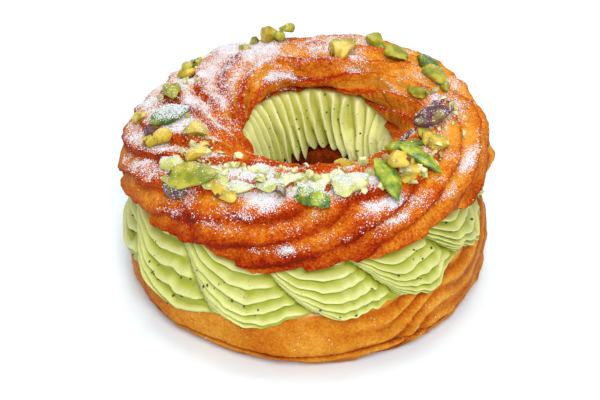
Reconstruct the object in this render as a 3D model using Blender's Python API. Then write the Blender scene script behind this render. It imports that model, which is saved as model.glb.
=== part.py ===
"""Paris-Brest: a ring of choux pastry cut in two, with piped pistachio cream between the halves.

The ring lies flat on the XY plane and its hole runs along Z.  A place on it is given by
    turn  the angle round the ring: 0 at the front (-Y), growing towards +X,
    lift  the angle round the ring's section: 0 outside, 90 degrees on top, 180 in the hole.
All sizes are in metres.
"""

import math

import bpy
from mathutils import Matrix, Vector, noise
from mathutils.bvhtree import BVHTree

# --- driving dimensions -------------------------------------------------------------------
LID_RADIUS = 0.0515  # the ring is about 104 mm across with its ridges
LID_NARROWING = 0.0013  # the lid baked a little narrower at the back right
LID_NARROWEST = math.radians(105)
BASE_RADIUS = 0.0514
HOLE_RADIUS = 0.0205
HOLE_OFFSET = 0.0034  # the hole sits towards +X, so the ring is narrower there
HOLE_FRONT = 0.0014  # and it opens a little wider at the front
GAP = 0.0006  # clearance between neighbouring solids
UNEVEN_SCALE = 2.3  # slow bumps along the ring
UNEVEN_FLATTENING = 0.4

BASE_WIDEST = 0.010  # height at which the lower half is widest
BASE_DROP = 0.012  # its section below that, cut off flat at z = 0
BASE_RISE = 0.017  # its section above that, cut off by the knife
BASE_POWER = 2.8
BASE_LIMIT = 0.98  # share of the section's rise that the cream may hang from
BASE_UNEVEN = 0.0008
CUT_HEIGHT = 0.0215  # the knife's plane over the middle of the ring
CUT_SLOPE_X = 0.075
CUT_SLOPE_Y = 0.040

LID_HEIGHT = 0.0405  # middle of the upper half's section
LID_RISE = 0.0117
LID_RISE_SWING = 0.0005  # a little higher at the front than at the back
LID_DROP = 0.0035
LID_POWER = 2.1
LID_TILT = math.radians(-13)  # the lid's outer side hangs lower than its inner side
LID_UNEVEN = 0.0010
OUTER_LIFT = 0.0018  # the outer rim is raised a little, more on the right
OUTER_LIFT_SWING = 0.0020
OUTER_LIFT_START = 0.1  # share of the width from which it rises
SAG_TURN = -0.05  # and it sags at the front
SAG_WIDTH = 0.42
SAG_DEPTH = 0.0042
INNER_DIP = 0.0014  # the rim round the hole is lower at the front and higher at the back
BACK_RAISE = 0.0018  # the dough under that rim is thinner at the back
BACK_COSINES = (-0.2, -0.9)  # cosine of the turn where that starts and where it is full
UNDERSIDE_SINES = (0.5, -0.3)  # sine of the lift where it starts and where it is full
RIDGES = 11  # ridges of the star nozzle, counted round the section
RIDGE_DEPTH = 0.0024
RIDGE_LEDGE = 0.70  # share of a ridge that slopes gently above its crest; the rest is steep
RIDGE_START = -0.55  # sine of the lift where ridges begin, and where they are full
RIDGE_FULL = 0.1
FIRST_RIDGE = math.radians(12)  # lift of one ridge's crest at the front
JOIN_TURN = math.radians(186)  # where the piped ring starts and ends
JOIN_WIDTH = 0.35
JOIN_WAVE = 1.5

LOBES = 12  # shells of cream piped round the ring
LOBE_START = math.radians(-11)  # turn of the first shell's start
LOBE_SWING = math.radians(4.5)  # the shells are wider in two quarters than in the others
LOBE_SWING_TURN = math.radians(12)
LOBE_BULGE = 0.0018
LOBE_STAND = 0.2  # least share of the bulge
LOBE_ROUNDING = 0.7
LOBE_FULL = 0.22  # share of a shell by which it is fullest
LOBE_THIN = 0.35  # share of a shell from which it thins
LOBE_THINNING = 0.75
LOBE_LEAN = math.radians(18)
TUCKS = [  # the cream stands back on the left and right: how far, at which turn, how wide
    (0.0016, math.radians(-92), 0.75),
    (0.0028, math.radians(92), 0.55),
]
PLEATS_PER_LOBE = 3.5  # in the hole the cream is folded finer
PLEAT_DEPTH = 0.0013
PLEAT_STAND = 0.0022  # how far they stand out into the hole
PLEAT_ROUNDING = 0.6
PLEAT_LEAN = math.radians(-9)  # the pleats lean the other way round
CREAM_LOW = 0.0178  # mean height to which the cream hangs over the lower half
CREAM_LOW_SWING = 0.0050
SCALLOP = 0.0015
OUTER_CONTACT = math.radians(-45)  # lifts at which the cream's faces meet the two halves
INNER_CONTACT = math.radians(-138)
BASE_CONTACT = math.radians(132)
CORNER_SHARE = 0.6  # share of the cream's underside that lies on the knife's cut

LID_COLUMNS = 58
ROWS_PER_RIDGE = 3
CREAM_COLUMNS = LOBES * 7
BASE_COLUMNS = 54
BASE_ROWS = 12

# Each pistachio: its name and shape; the turn and lift where it lies, and its heading from the
# ring's forward direction towards the hole, in degrees; its length, width and thickness in mm.
PISTACHIOS = [
    ("pistachio_long", "kernel", -40.5, 65, 30, 17.5, 6.6, 4.2),
    ("pistachio_bright", "kernel", 0, 66, -22, 13.0, 6.4, 4.0),
    ("pistachio_chunk", "chunk", 15, 82, 12, 11.5, 7.0, 2.6),
    ("pistachio_dark", "sliver", 27.5, 77, -89, 14.5, 5.2, 3.0),
    ("pistachio_slab", "chunk", 36, 86, -18, 7.5, 6.0, 2.4),
    ("pistachio_yellow", "chunk", 57, 90, -50, 8.0, 6.0, 2.8),
    ("pistachio_leaf_a", "sliver", 45, 107, -50, 10.0, 3.4, 2.2),
    ("pistachio_leaf_b", "sliver", 44, 79, -70, 12.5, 3.6, 2.2),
    ("pistachio_purple", "kernel", 75, 106, -34, 13.5, 6.0, 4.5),
    ("pistachio_cluster_a", "kernel", 111, 91, 182, 10.0, 5.2, 4.0),
    ("pistachio_cluster_b", "chunk", 122, 81, 200, 7.5, 4.6, 3.6),
    ("pistachio_round", "chunk", 136, 96, 150, 10.0, 6.5, 2.6),
    ("pistachio_pale", "chunk", 160, 121, 212, 11.0, 7.2, 2.6),
    ("pistachio_green", "chunk", -97, 89, 10, 8.0, 5.6, 3.4),
    ("pistachio_heaped", "kernel", -78, 88, 92, 11.5, 6.4, 4.4),
    ("pistachio_two_tone", "chunk", -59, 101, 10, 11.0, 5.2, 3.4),
]
# Each shape: how much one end is slimmer, how far it bends sideways and how flat its underside
# is, as shares of its own sizes, and how square its outline is.
SHAPES = {
    "kernel": {"taper": 0.30, "bend": 0.10, "belly": 0.45, "square": 1.0},
    "sliver": {"taper": 0.25, "bend": 0.45, "belly": 0.70, "square": 1.0},
    "chunk": {"taper": 0.15, "bend": 0.05, "belly": 0.70, "square": 0.7},
}
KERNEL_SEGMENTS = 8
KERNEL_RINGS = 6
KERNEL_LUMP = 0.16  # how uneven a pistachio is, as a share of its size
KERNEL_LUMP_SCALE = 1.7
TORUS_RADIUS = 0.04  # the plain torus whose points are moved into place
TORUS_TUBE = 0.01
PROBE_STEP = 0.0005  # spacing of the probes that set a pistachio down on what is below it

GREEN = (0.19, 0.33, 0.04)
CRUST_BROWN = (0.52, 0.17, 0.04)
CRUST_GOLD = (0.60, 0.25, 0.05)
CREAM_GREEN = (0.60, 0.65, 0.16)


def ring_point(turn, radius, height):
    return Vector((radius * math.sin(turn), -radius * math.cos(turn), height))


def middle_and_width(turn, outer_radius):
    """The middle of the ring's section and half its width."""
    inner_radius = HOLE_RADIUS + HOLE_OFFSET * math.sin(turn)
    inner_radius += HOLE_FRONT * blend(0.0, 1.0, math.cos(turn))
    return (outer_radius + inner_radius) / 2, (outer_radius - inner_radius) / 2


def blend(low, high, value):
    """0 below low, 1 above high, smooth between."""
    share = min(max((value - low) / (high - low), 0.0), 1.0)
    return share * share * (3 - 2 * share)


def mix(start, end, share):
    return start + (end - start) * share


def hump(turn, middle, width):
    """1 at one place on the ring and falling away on both sides."""
    return math.exp(-((math.remainder(turn - middle, math.tau) / width) ** 2))


def signed_power(value, power):
    return math.copysign(abs(value) ** power, value)


def superellipse(lift, width, rise, drop, power):
    """A point on a rounded section: how far out and how far up from its middle."""
    height = rise if math.sin(lift) > 0 else drop
    out = width * signed_power(math.cos(lift), 2 / power)
    up = height * signed_power(math.sin(lift), 2 / power)
    return out, up


def unevenness(turn, lift, size):
    """Slow bumps of a few tenths of a millimetre, as baked dough has."""
    spot = Vector((math.cos(turn), math.sin(turn), UNEVEN_FLATTENING * math.cos(lift)))
    return size * noise.noise(spot * UNEVEN_SCALE + Vector((0, 0, math.sin(lift))))


# --- the lower half of the choux ring -------------------------------------------------------
def cut_height(turn, radius):
    spot = ring_point(turn, radius, 0)
    return CUT_HEIGHT + CUT_SLOPE_X * spot.x + CUT_SLOPE_Y * spot.y


def base_section(turn, lift, grow=0.0):
    """Radius and height of the lower half's skin, or of a skin standing off it by grow."""
    middle, width = middle_and_width(turn, BASE_RADIUS)
    out, up = superellipse(lift, width + grow, BASE_RISE + grow, BASE_DROP, BASE_POWER)
    radius = middle + out + unevenness(turn, lift, BASE_UNEVEN) * math.cos(lift)
    height = BASE_WIDEST + up
    return radius, min(max(height, 0.0), cut_height(turn, radius) + grow)


def base_lift_at(turn, height):
    """The lift at which the lower half's outer wall reaches a height."""
    share = min((height - BASE_WIDEST) / (BASE_RISE + GAP), BASE_LIMIT)
    return math.asin(max(share, 0.0) ** (BASE_POWER / 2))


# --- the upper half, with the ridges of the star nozzle --------------------------------------
def twist(turn):
    """How far the ridges have wound round the section; they waver where the piping joins."""
    past = (turn - JOIN_TURN) % math.tau
    past = past - math.tau if past > math.pi else past
    step = 0.5 + 0.5 * math.tanh(past / JOIN_WIDTH)
    return FIRST_RIDGE + turn + JOIN_WAVE * (past / math.tau + 0.5 - step)


def ridge(turn, lift):
    """1 on the crest of a ridge and 0 in the groove beside it; the side below is steep."""
    along = (RIDGES * (lift - twist(turn)) / math.tau) % 1.0
    if along < RIDGE_LEDGE:
        return blend(RIDGE_LEDGE, 0.0, along)
    return blend(RIDGE_LEDGE, 1.0, along)


def ridge_fade(lift):
    """The ridges fade out under the lid, where the knife cut it flat."""
    return blend(RIDGE_START, RIDGE_FULL, math.sin(lift))


def outer_lift(turn):
    """How much the lid's outer rim is raised; it sags at the front, where a ridge ends."""
    sag = SAG_DEPTH * hump(turn, SAG_TURN, SAG_WIDTH)
    return OUTER_LIFT + OUTER_LIFT_SWING * math.sin(turn) - sag


def inner_lift(turn, lift):
    """How much the lid's inner rim is raised, with more under it at the back."""
    back = blend(*BACK_COSINES, math.cos(turn))
    underside = blend(*UNDERSIDE_SINES, math.sin(lift))
    return BACK_RAISE * back * underside - INNER_DIP * math.cos(turn)


def lid_section(turn, lift, grow=0.0):
    narrowing = LID_NARROWING * (1 + math.cos(turn - LID_NARROWEST))
    middle, width = middle_and_width(turn, LID_RADIUS - narrowing)
    rise = LID_RISE + LID_RISE_SWING * math.cos(turn)
    out, up = superellipse(lift, width + grow, rise, LID_DROP + grow, LID_POWER)
    relief = RIDGE_DEPTH * (ridge(turn, lift) - 0.5) + unevenness(turn, lift, LID_UNEVEN)
    relief *= ridge_fade(lift)
    out += relief * math.cos(lift)
    up += relief * math.sin(lift)
    radius = middle + out * math.cos(LID_TILT) - up * math.sin(LID_TILT)
    height = LID_HEIGHT + out * math.sin(LID_TILT) + up * math.cos(LID_TILT)
    height += outer_lift(turn) * blend(OUTER_LIFT_START, 1.0, out / width)
    height += inner_lift(turn, lift) * blend(0.0, 1.0, -out / width)
    return radius, height


# --- the cream ------------------------------------------------------------------------------
def lobe_place(share):
    """The turn at a place counted in lobes: the shells were piped a little unevenly."""
    even = math.tau * share / LOBES
    return even + LOBE_START + LOBE_SWING * math.cos(2 * (even + LOBE_SWING_TURN))


def lobe_swell(share):
    """A shell is fullest just after its start and thins towards the next one."""
    along = share % 1.0
    thinned = LOBE_THINNING * blend(LOBE_THIN, 1.0, along)
    return blend(0.0, LOBE_FULL, along) * (1 - thinned)


def cream_low(turn, share):
    scallop = SCALLOP * math.cos(math.tau * (share % 1.0))
    return CREAM_LOW + CREAM_LOW_SWING * math.sin(turn) + scallop


def cream_outside(share, rise):
    """The outer face, from rise 0 at the lower half to rise 1 under the lid."""
    turn = lobe_place(share) + LOBE_LEAN * (0.5 - rise)
    low_radius, low_height = base_section(turn, base_lift_at(turn, cream_low(turn, share)), GAP)
    top_radius, top_height = lid_section(turn, OUTER_CONTACT, GAP)
    bulge = LOBE_BULGE * (LOBE_STAND + lobe_swell(share))
    bulge -= sum(depth * hump(turn, middle, width) for depth, middle, width in TUCKS)
    bulge *= math.sin(math.pi * rise) ** LOBE_ROUNDING
    radius = mix(low_radius, top_radius, rise) + bulge
    return turn, radius, mix(low_height, top_height, rise)


def cream_under_lid(share, along):
    lean = mix(-LOBE_LEAN, -PLEAT_LEAN, along) / 2
    turn = lobe_place(share) + lean
    return turn, *lid_section(turn, mix(OUTER_CONTACT, INNER_CONTACT, along), GAP)


def cream_inside(share, fall):
    """The pleated face in the hole, from fall 0 under the lid to fall 1 on the lower half."""
    turn = lobe_place(share) + PLEAT_LEAN * (fall - 0.5)
    top_radius, top_height = lid_section(turn, INNER_CONTACT, GAP)
    low_radius, low_height = base_section(turn, BASE_CONTACT, GAP)
    fold = 2 * abs((share * PLEATS_PER_LOBE) % 1.0 - 0.5)
    bulge = math.sin(math.pi * fall) ** PLEAT_ROUNDING * (PLEAT_STAND + PLEAT_DEPTH * fold)
    return turn, mix(top_radius, low_radius, fall) - bulge, mix(top_height, low_height, fall)


def cream_on_base(share, along):
    """The underside: over the knife's cut, past its outer corner and down the wall."""
    turn = lobe_place(share) + mix(PLEAT_LEAN, LOBE_LEAN, along) / 2
    hang = base_lift_at(turn, cream_low(turn, share))
    corner = base_lift_at(turn, cut_height(turn, BASE_RADIUS) + GAP)
    if along < CORNER_SHARE:
        lift = mix(BASE_CONTACT, corner, along / CORNER_SHARE)
    else:
        lift = mix(corner, hang, (along - CORNER_SHARE) / (1 - CORNER_SHARE))
    return turn, *base_section(turn, lift, GAP)


CREAM_FACES = [
    (cream_outside, 6),
    (cream_under_lid, 5),
    (cream_inside, 4),
    (cream_on_base, 5),
]
CREAM_ROWS = sum(rows for face, rows in CREAM_FACES)


def cream_point(column, row):
    share = LOBES * column / CREAM_COLUMNS
    for face, rows in CREAM_FACES:
        if row < rows:
            return ring_point(*face(share, row / rows))
        row -= rows
    raise ValueError(row)


def base_point(column, row):
    turn = math.tau * column / BASE_COLUMNS
    return ring_point(turn, *base_section(turn, math.tau * row / BASE_ROWS))


def lid_point(column, row):
    """Rows follow the ridges: on each crest, half-way down its ledge and in its groove."""
    turn = math.tau * column / LID_COLUMNS
    whole, step = divmod(row, ROWS_PER_RIDGE)
    along = whole + RIDGE_LEDGE * step / (ROWS_PER_RIDGE - 1)
    lift = math.tau * along / RIDGES + twist(turn)
    return ring_point(turn, *lid_section(turn, lift))


# --- making the objects ---------------------------------------------------------------------
def material(name, colour, roughness):
    made = bpy.data.materials.new(name)
    made.use_nodes = True
    shader = made.node_tree.nodes["Principled BSDF"]
    shader.inputs["Base Color"].default_value = (*colour, 1)
    shader.inputs["Roughness"].default_value = roughness
    shader.inputs["Metallic"].default_value = 0
    return made


def finish(obj, name, collection, finish_material):
    obj.name = name
    obj.data.name = name
    for old in list(obj.users_collection):
        old.objects.unlink(obj)
    collection.objects.link(obj)
    obj.data.materials.clear()
    obj.data.materials.append(finish_material)
    obj.data.shade_smooth()
    return obj


def make_ring(columns, rows, place):
    """A torus whose point in each column and row is moved to where place puts it."""
    bpy.ops.mesh.primitive_torus_add(
        major_segments=columns,
        minor_segments=rows,
        major_radius=TORUS_RADIUS,
        minor_radius=TORUS_TUBE,
    )
    ring = bpy.context.object
    for vertex in ring.data.vertices:
        x, y, z = vertex.co
        column = round(math.atan2(x, -y) / math.tau * columns) % columns
        row = round(math.atan2(z, math.hypot(x, y) - TORUS_RADIUS) / math.tau * rows) % rows
        vertex.co = place(column, row)
    return ring


def surface_of(obj):
    corners = [vertex.co for vertex in obj.data.vertices]
    return BVHTree.FromPolygons(corners, [face.vertices for face in obj.data.polygons])


# --- pistachios -----------------------------------------------------------------------------
def kernel_point(unit, shape, seed):
    """A place on a unit sphere with its poles on X, moved to where the kernel's skin is."""
    form = SHAPES[shape]
    x, y, z = (signed_power(value, form["square"]) for value in unit)
    slim = 1 - form["taper"] * x
    y = y * slim + form["bend"] * (1 - x * x)
    z = z * slim * (form["belly"] if z < 0 else 1)
    lump = 1 + KERNEL_LUMP * noise.noise(unit * KERNEL_LUMP_SCALE + Vector((seed, 0, 0)))
    return Vector((x, y, z)) * lump


def lying_frame(turn, lift, heading):
    """X along the kernel, Z out of the dough, with its origin on the lid's skin."""
    slope = lift + LID_TILT
    outward = Vector((math.sin(turn), -math.cos(turn), 0))
    normal = outward * math.cos(slope) + Vector((0, 0, math.sin(slope)))
    forward = Vector((math.cos(turn), math.sin(turn), 0))
    along = forward * math.cos(heading) + normal.cross(forward) * math.sin(heading)
    frame = Matrix((along, normal.cross(along), normal)).transposed().to_4x4()
    frame.translation = ring_point(turn, *lid_section(turn, lift))
    return frame


def height_at(surface, x, y, upwards):
    start = Vector((x, y, -1.0 if upwards else 1.0))
    hit = surface.ray_cast(start, Vector((0, 0, 1.0 if upwards else -1.0)))[0]
    return None if hit is None else hit.z


def drop_to_rest(piece, surfaces):
    """How far to raise a piece so that it clears everything below it by the gap."""
    own = surface_of(piece)
    spots = [vertex.co for vertex in piece.data.vertices]
    low_x, high_x = min(s.x for s in spots), max(s.x for s in spots)
    low_y, high_y = min(s.y for s in spots), max(s.y for s in spots)
    rises = []
    for i in range(int((high_x - low_x) / PROBE_STEP) + 1):
        for j in range(int((high_y - low_y) / PROBE_STEP) + 1):
            x, y = low_x + i * PROBE_STEP, low_y + j * PROBE_STEP
            bottom = height_at(own, x, y, True)
            tops = [height_at(surface, x, y, False) for surface in surfaces]
            if bottom is not None:
                rises += [top + GAP - bottom for top in tops if top is not None]
    return max(rises)


def make_pistachio(row, seed, surfaces):
    name, shape, turn, lift, heading, length, width, thickness = row
    bpy.ops.mesh.primitive_uv_sphere_add(
        segments=KERNEL_SEGMENTS, ring_count=KERNEL_RINGS, radius=1
    )
    piece = bpy.context.object
    frame = lying_frame(*map(math.radians, (turn, lift, heading)))
    size = Vector((length, width, thickness)) / 2 / 1000  # half of each, in metres
    for vertex in piece.data.vertices:
        unit = Vector((vertex.co.z, vertex.co.x, vertex.co.y))
        vertex.co = frame @ (kernel_point(unit, shape, seed) * size)
    rise = drop_to_rest(piece, surfaces)
    for vertex in piece.data.vertices:
        vertex.co.z += rise
    surfaces.append(surface_of(piece))
    return piece


def main():
    for obj in list(bpy.data.objects):
        bpy.data.objects.remove(obj)
    pastry = bpy.data.collections.new("paris_brest")
    bpy.context.scene.collection.children.link(pastry)

    gold = material("baked_choux_base", CRUST_GOLD, 0.5)
    brown = material("baked_choux_lid", CRUST_BROWN, 0.45)
    cream = material("pistachio_cream", CREAM_GREEN, 0.5)
    green = material("pistachio_kernel", GREEN, 0.5)

    base = make_ring(BASE_COLUMNS, BASE_ROWS, base_point)
    finish(base, "crust_base", pastry, gold)
    filling = make_ring(CREAM_COLUMNS, CREAM_ROWS, cream_point)
    finish(filling, "cream_ring", pastry, cream)
    lid = make_ring(LID_COLUMNS, ROWS_PER_RIDGE * RIDGES, lid_point)
    finish(lid, "crust_lid", pastry, brown)

    surfaces = [surface_of(lid)]
    for seed, row in enumerate(PISTACHIOS):
        piece = make_pistachio(row, seed, surfaces)
        finish(piece, row[0], pastry, green)


main()
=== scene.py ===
# %% [markdown]
# # A Paris-Brest with pistachio cream
# A Paris-Brest is a ring of choux dough, piped with a star nozzle, baked until it is hollow and
# brown, cut in two and filled with cream.  This one is filled with pistachio cream, and its lid
# carries pistachios and icing sugar.
#
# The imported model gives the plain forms: the two halves of the ring, the cream between them and
# the larger pistachios.  This script makes the surface that the eye reads as food: the steps of
# the star nozzle, the folds of the cream, the broken nuts and the sugar.  Everything is in
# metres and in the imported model's own frame, so nothing has to be fitted afterwards.

import itertools
import math

import bmesh
import bpy
import numpy as np
from mathutils import Matrix, Vector, noise


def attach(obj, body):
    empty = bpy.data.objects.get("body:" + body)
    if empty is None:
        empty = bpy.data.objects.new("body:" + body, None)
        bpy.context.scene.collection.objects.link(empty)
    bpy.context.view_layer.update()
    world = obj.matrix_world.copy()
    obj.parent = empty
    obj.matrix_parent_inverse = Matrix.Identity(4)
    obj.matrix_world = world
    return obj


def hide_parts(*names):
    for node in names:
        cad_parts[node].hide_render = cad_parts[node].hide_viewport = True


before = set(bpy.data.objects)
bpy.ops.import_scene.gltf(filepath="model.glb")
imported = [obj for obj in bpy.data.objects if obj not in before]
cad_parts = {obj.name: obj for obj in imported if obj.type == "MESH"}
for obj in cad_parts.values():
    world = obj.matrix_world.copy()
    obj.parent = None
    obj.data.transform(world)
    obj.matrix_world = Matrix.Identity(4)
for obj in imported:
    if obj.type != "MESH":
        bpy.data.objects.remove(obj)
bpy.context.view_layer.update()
rng = np.random.default_rng(11)
MM, MERGE_DISTANCE = 0.001, 1e-6
print("packed nodes:", len(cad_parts))

# %% [markdown]
# ## Small helpers
# Smooth steps and smooth random bumps shape every surface here.  The bumps come from a lattice
# of random values with smooth blending between them: it is the same idea as Blender's noise,
# written for whole arrays, so a ring of ninety thousand points is shaped in a moment.


# %% Steps and bumps
def blend(low, high, value):
    """0 at low, 1 at high and smooth between, for numbers and for whole arrays."""
    share = np.clip((value - low) / (high - low), 0.0, 1.0)
    return share * share * (3 - 2 * share)


def mix(start, end, share):
    """The value that lies a share of the way from start to end."""
    return start + (end - start) * share


def hump(value, middle, width):
    """1 at the middle and falling away on both sides."""
    return np.exp(-(((value - middle) / width) ** 2))


def signed(angle):
    """The same angle, between minus and plus half a turn."""
    return (angle + math.pi) % math.tau - math.pi


def bumps(spots, size, seed=0):
    """Smooth random values from -1 to 1 that change over a distance of size metres."""
    cell = spots / size + 7.31 * seed
    low = np.floor(cell).astype(np.int64)
    part = cell - low
    part = part * part * (3 - 2 * part)
    total = np.zeros(len(spots))
    for corner in itertools.product((0, 1), repeat=3):
        key = (low + corner) * (73856093, 19349663, 83492791)
        code = (key[:, 0] ^ key[:, 1] ^ key[:, 2]) % 65536
        value = (np.sin(code * 12.9898) * 43758.5453) % 2.0 - 1.0
        total += value * np.prod(np.where(corner, part, 1 - part), axis=1)
    return total


print("a quarter of the way up, a step has reached", float(blend(0.0, 1.0, 0.25)))

# %% [markdown]
# ## Places on the ring
# A place is given by two angles.  `turn` goes round the ring: 0 at the front and growing
# towards +X.  `lift` goes round the ring's own section: 0 outside, 90 degrees on top and 180 in
# the hole.  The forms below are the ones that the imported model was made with, written for
# arrays, because a surface detail has to sit exactly on the form it belongs to.

# %% The forms of the two halves
LID_RADIUS, LID_NARROWING, BASE_RADIUS = 0.0515, 0.0013, 0.0514
HOLE_RADIUS, HOLE_OFFSET, HOLE_FRONT, GAP = 0.0205, 0.0034, 0.0014, 0.0006
BASE_WIDEST, BASE_DROP, BASE_RISE, BASE_POWER = 0.010, 0.012, 0.017, 2.8
CUT_HEIGHT, CUT_SLOPE_X, CUT_SLOPE_Y = 0.0215, 0.075, 0.040
LID_HEIGHT, LID_RISE, LID_RISE_SWING, LID_DROP, LID_POWER = 0.0405, 0.0117, 0.0005, 0.0035, 2.1
LID_TILT, NARROWEST_TURN = math.radians(-13), math.radians(-75)
OUTER_LIFT, OUTER_LIFT_SWING = 0.0018, 0.0020
SAG_TURN, SAG_WIDTH, SAG_DEPTH, INNER_DIP = -0.05, 0.42, 0.0042, 0.0014
BACK_RAISE = 0.0018
RIDGES, RIDGE_STEP, RIDGE_LEDGE = 11, 0.0024, 0.80
FIRST_RIDGE, JOIN_TURN, JOIN_WIDTH, JOIN_WAVE = math.radians(12), math.radians(186), 0.35, 1.5


def place(turn, radius, height):
    """Rows of X, Y and Z for these turns, radii and heights."""
    return np.column_stack((radius * np.sin(turn), -radius * np.cos(turn), height))


def middle_and_width(turn, outer_radius):
    """The radius of the section's middle, and half the section's width."""
    inner_radius = HOLE_RADIUS + HOLE_OFFSET * np.sin(turn)
    inner_radius += HOLE_FRONT * blend(0.0, 1.0, np.cos(turn))
    return (outer_radius + inner_radius) / 2, (outer_radius - inner_radius) / 2


def superellipse(lift, width, rise, drop, power):
    """How far out and up from its middle a section's rounded outline lies."""
    height = np.where(np.sin(lift) > 0, rise, drop)
    out = width * np.copysign(np.abs(np.cos(lift)) ** (2 / power), np.cos(lift))
    up = height * np.copysign(np.abs(np.sin(lift)) ** (2 / power), np.sin(lift))
    return out, up


def unevenness(turn, lift, size):
    """Broad swellings of the dough."""
    spots = np.column_stack((np.cos(turn), np.sin(turn), 0.4 * np.cos(lift))) * 2.3
    spots[:, 2] += np.sin(lift)
    return size * np.array([noise.noise(spot) for spot in spots.tolist()])


def twist(turn):
    """How far the ridges have wound round the section; they run together at the back."""
    past = (turn - JOIN_TURN) % math.tau
    past = np.where(past > math.pi, past - math.tau, past)
    step = 0.5 + 0.5 * np.tanh(past / JOIN_WIDTH)
    return FIRST_RIDGE + turn + JOIN_WAVE * (past / math.tau + 0.5 - step)


def lid_section(turn, lift, relief=0.0, grow=0.0):
    """Radius and height of the lid's skin, raised by relief."""
    narrowing = LID_NARROWING * (1 - np.cos(turn - NARROWEST_TURN))
    middle, width = middle_and_width(turn, LID_RADIUS - narrowing)
    rise = LID_RISE + LID_RISE_SWING * np.cos(turn)
    out, up = superellipse(lift, width + grow, rise, LID_DROP + grow, LID_POWER)
    out += relief * np.cos(lift)
    up += relief * np.sin(lift)
    radius = middle + out * math.cos(LID_TILT) - up * math.sin(LID_TILT)
    height = LID_HEIGHT + out * math.sin(LID_TILT) + up * math.cos(LID_TILT)
    sag = hump(signed(turn), SAG_TURN, SAG_WIDTH)
    raised = OUTER_LIFT + OUTER_LIFT_SWING * np.sin(turn) - SAG_DEPTH * sag
    height += raised * blend(0.1, 1.0, out / width)
    inner = blend(0.0, 1.0, -out / width)
    underside = blend(0.5, -0.3, np.sin(lift)) * blend(-0.2, -0.9, np.cos(turn))
    return radius, height + inner * (BACK_RAISE * underside - INNER_DIP * np.cos(turn))


def cut_height(turn, radius):
    """The height of the knife's sloping cut."""
    return CUT_HEIGHT + CUT_SLOPE_X * radius * np.sin(turn) - CUT_SLOPE_Y * radius * np.cos(turn)


def base_section(turn, lift, relief=0.0, grow=0.0):
    """Radius and height of the lower half's skin, cut flat below and by the knife above."""
    middle, width = middle_and_width(turn, BASE_RADIUS)
    out, up = superellipse(lift, width + grow, BASE_RISE + grow, BASE_DROP, BASE_POWER)
    radius = middle + out + (unevenness(turn, lift, 0.0008) + relief) * np.cos(lift)
    top = cut_height(turn, radius) + grow
    return radius, np.clip(BASE_WIDEST + up + relief * np.sin(lift), 0.0, top)


def base_lift_at(height):
    """The lift at which the wall of the lower half reaches a height."""
    share = np.clip((height - BASE_WIDEST) / (BASE_RISE + GAP), 0.0, 0.98)
    return np.arcsin(share ** (BASE_POWER / 2))


front_edge = np.round(lid_section(np.zeros(1), np.zeros(1)), 4) / MM
print("front edge of the lid, radius and height in mm:", front_edge.ravel())

# %% [markdown]
# ## A ring of many points
# Blender could make these rings as a torus, by spinning a section, or as a curve with a bevel.
# With hundreds of steps the quickest is a flat grid: it is rolled up into a tube, the tube is
# bent into a ring, and the points that meet along the two seams are merged.  Each point knows
# its column round the ring and its row round the section, and a function then places it.


# %% Roll a grid into a ring
RAW_RADIUS, RAW_TUBE = 0.04, 0.01  # the ring before it is shaped


def rolled_ring(columns, rows):
    """A closed ring as a bmesh, with the column and row of each of its points."""
    mould = bmesh.new()
    bmesh.ops.create_grid(mould, x_segments=columns, y_segments=rows, size=0.5)
    for vertex in mould.verts:
        around, section = (vertex.co.x + 0.5) * math.tau, (vertex.co.y + 0.5) * math.tau
        radius, height = RAW_RADIUS + RAW_TUBE * math.cos(section), RAW_TUBE * math.sin(section)
        vertex.co = (radius * math.sin(around), -radius * math.cos(around), height)
    bmesh.ops.remove_doubles(mould, verts=mould.verts, dist=MERGE_DISTANCE)
    bmesh.ops.recalc_face_normals(mould, faces=mould.faces)
    spots = np.array([vertex.co for vertex in mould.verts])
    around = np.arctan2(spots[:, 0], -spots[:, 1]) / math.tau * columns
    section = np.arctan2(spots[:, 2], np.hypot(spots[:, 0], spots[:, 1]) - RAW_RADIUS)
    return mould, np.round(around) % columns, np.round(section / math.tau * rows) % rows


# %% Turn a mould into an object
def to_mesh(mould, name):
    mesh = bpy.data.meshes.new(name)
    mould.to_mesh(mesh)
    mould.free()
    return mesh


def stand(name, data):
    """A new object with these data, put in the scene."""
    made = bpy.data.objects.new(name, data)
    bpy.context.scene.collection.objects.link(made)
    return made


def give_mark(mesh, name, values):
    """Keep one value with each point, where a finish can read it."""
    layer = mesh.attributes.new(name, "FLOAT", "POINT")
    layer.data.foreach_set("value", np.asarray(values, dtype=np.float32))


def to_piece(mould, name, spots=None, marks=None, smooth=True):
    """The bmesh as an object that rides on the pastry, with marks kept as attributes."""
    mesh = to_mesh(mould, name)
    if spots is not None:
        mesh.vertices.foreach_set("co", np.asarray(spots, dtype=np.float32).ravel())
    for mark, values in (marks or {}).items():
        give_mark(mesh, mark, values)
    mesh.polygons.foreach_set("use_smooth", [smooth] * len(mesh.polygons))
    mesh.update()
    piece = stand(name, mesh)
    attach(piece, "root")
    return piece


def read(items, field):
    """One field of many points or normals, as rows of three."""
    flat = np.empty(len(items) * 3, dtype=np.float32)
    items.foreach_get(field, flat)
    return flat.reshape(-1, 3).astype(float)


def closed_and_outward(mesh):
    """True if every edge has two faces and the solid's volume comes out positive."""
    probe = bmesh.new()
    probe.from_mesh(mesh)
    whole = all(edge.is_manifold for edge in probe.edges) and probe.calc_volume(signed=True) > 0
    probe.free()
    return whole
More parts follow.
